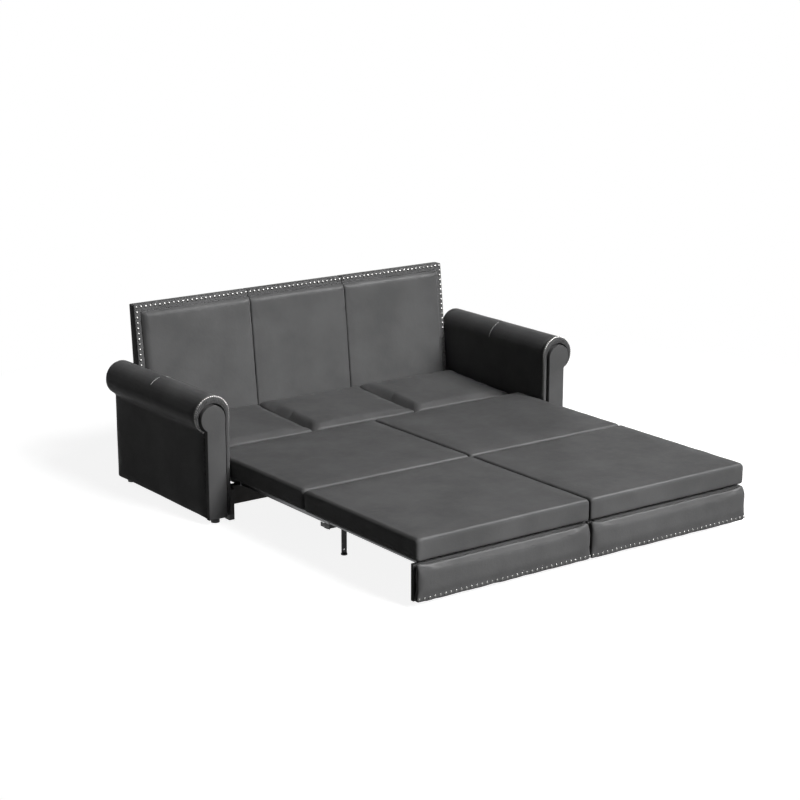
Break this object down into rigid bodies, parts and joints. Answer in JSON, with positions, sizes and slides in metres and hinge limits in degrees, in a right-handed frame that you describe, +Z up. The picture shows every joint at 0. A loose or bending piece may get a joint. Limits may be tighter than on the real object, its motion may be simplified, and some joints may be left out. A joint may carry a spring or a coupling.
{
  "type": "sofa bed",
  "caption": "Rolled-arm leather sofa bed, opened: a padded back, a row of rear cushions, and paired pull-out units with fold-over panels on runners, legs and casters.",
  "frame": {"origin": "on the floor, under the middle of the opened sofa bed", "axes": "+X along the width towards the viewer's right, +Y from the foot of the bed to the back, +Z up"},
  "size_m": [2.148, 2.2783, 0.84],
  "materials": {
    "leather": "satin",
    "timber": "matte",
    "plywood": "matte",
    "black_metal": "satin",
    "zinc": "satin",
    "black_plastic": "matte"
  },
  "bodies": {
    "base": {"left_arm_body": "leather", "right_arm_body": "leather", "left_arm_roll": "leather", "right_arm_roll": "leather", "left_arm_facing": "leather", "right_arm_facing": "leather", "left_side_rail": "timber", "right_side_rail": "timber", "front_cross_rail": "timber", "middle_cross_rail": "timber", "rear_cross_rail": "timber", "rear_apron": "plywood", "base_feet": "black_plastic", "deck_bearers": "timber", "back_shell": "leather", "left_back_pad": "leather", "centre_back_pad": "leather", "right_back_pad": "leather", "left_deck_slats": "plywood", "right_deck_slats": "plywood", "left_outer_fixed_runner": "zinc", "left_inner_fixed_runner": "zinc", "right_outer_fixed_runner": "zinc", "right_inner_fixed_runner": "zinc"},
    "left_stage": {"left_outer_stage_runner": "zinc", "left_inner_stage_runner": "zinc", "left_cross_tube": "black_metal", "left_support_legs": "black_metal", "left_leg_glides": "black_plastic"},
    "left_unit": {"left_outer_unit_runner": "zinc", "left_inner_unit_runner": "zinc", "left_front_board": "plywood", "left_front_cushion": "leather", "left_fascia_board": "plywood", "left_fascia_pad": "leather", "left_caster_brackets": "zinc", "left_caster_axles": "zinc"},
    "left_middle": {"left_middle_cushion": "leather"},
    "left_outer_wheel": {"left_outer_caster_wheel": "black_plastic"},
    "left_inner_wheel": {"left_inner_caster_wheel": "black_plastic"},
    "right_stage": {"right_outer_stage_runner": "zinc", "right_inner_stage_runner": "zinc", "right_cross_tube": "black_metal", "right_support_legs": "black_metal", "right_leg_glides": "black_plastic"},
    "right_unit": {"right_outer_unit_runner": "zinc", "right_inner_unit_runner": "zinc", "right_front_board": "plywood", "right_front_cushion": "leather", "right_fascia_board": "plywood", "right_fascia_pad": "leather", "right_caster_brackets": "zinc", "right_caster_axles": "zinc"},
    "right_middle": {"right_middle_cushion": "leather"},
    "right_outer_wheel": {"right_outer_caster_wheel": "black_plastic"},
    "right_inner_wheel": {"right_inner_caster_wheel": "black_plastic"},
    "left_seat_back": {"left_rear_cushion": "leather"},
    "centre_seat_back": {"centre_rear_cushion": "leather"},
    "right_seat_back": {"right_rear_cushion": "leather"}
  },
  "joints": [
    {"name": "left_stage_slide", "type": "slide", "parent": "base", "child": "left_stage", "axis": [0, 1, 0], "range_m": [0, 0.66]},
    {"name": "left_unit_slide", "type": "slide", "parent": "left_stage", "child": "left_unit", "axis": [0, 1, 0], "range_m": [0, 0.66]},
    {"name": "left_fold", "type": "hinge", "parent": "left_unit", "child": "left_middle", "pos_m": [-0.44675, -0.3305, 0.297], "axis": [1, 0, 0], "range_deg": [0, 180]},
    {"name": "left_outer_wheel_spin", "type": "hinge", "parent": "left_unit", "child": "left_outer_wheel", "pos_m": [-0.793, -1.0735, 0.022], "axis": [1, 0, 0], "continuous": true},
    {"name": "left_inner_wheel_spin", "type": "hinge", "parent": "left_unit", "child": "left_inner_wheel", "pos_m": [-0.109, -1.0735, 0.022], "axis": [1, 0, 0], "continuous": true},
    {"name": "right_stage_slide", "type": "slide", "parent": "base", "child": "right_stage", "axis": [0, 1, 0], "range_m": [0, 0.66]},
    {"name": "right_unit_slide", "type": "slide", "parent": "right_stage", "child": "right_unit", "axis": [0, 1, 0], "range_m": [0, 0.66]},
    {"name": "right_fold", "type": "hinge", "parent": "right_unit", "child": "right_middle", "pos_m": [0.44675, -0.3305, 0.297], "axis": [1, 0, 0], "range_deg": [0, 180]},
    {"name": "right_outer_wheel_spin", "type": "hinge", "parent": "right_unit", "child": "right_outer_wheel", "pos_m": [0.793, -1.0735, 0.022], "axis": [1, 0, 0], "continuous": true},
    {"name": "right_inner_wheel_spin", "type": "hinge", "parent": "right_unit", "child": "right_inner_wheel", "pos_m": [0.109, -1.0735, 0.022], "axis": [1, 0, 0], "continuous": true},
    {"name": "left_cushion_tip", "type": "hinge", "parent": "base", "child": "left_seat_back", "pos_m": [-0.5945, 1.0835, 0.36], "axis": [-1, 0, 0], "range_deg": [0, 78]},
    {"name": "centre_cushion_tip", "type": "hinge", "parent": "base", "child": "centre_seat_back", "pos_m": [0, 1.0835, 0.36], "axis": [-1, 0, 0], "range_deg": [0, 78]},
    {"name": "right_cushion_tip", "type": "hinge", "parent": "base", "child": "right_seat_back", "pos_m": [0.5945, 1.0835, 0.36], "axis": [-1, 0, 0], "range_deg": [0, 78]}
  ],
  "couplings": [
    {"joint": "left_unit_slide", "follows": "left_stage_slide", "ratio": 1},
    {"joint": "right_stage_slide", "follows": "left_stage_slide", "ratio": 1},
    {"joint": "right_unit_slide", "follows": "left_stage_slide", "ratio": 1},
    {"joint": "left_fold", "follows": "left_stage_slide", "rad_per_m": 4.7599},
    {"joint": "right_fold", "follows": "left_stage_slide", "rad_per_m": 4.7599},
    {"joint": "left_cushion_tip", "follows": "left_stage_slide", "rad_per_m": 2.0626},
    {"joint": "centre_cushion_tip", "follows": "left_stage_slide", "rad_per_m": 2.0626},
    {"joint": "right_cushion_tip", "follows": "left_stage_slide", "rad_per_m": 2.0626}
  ]
}
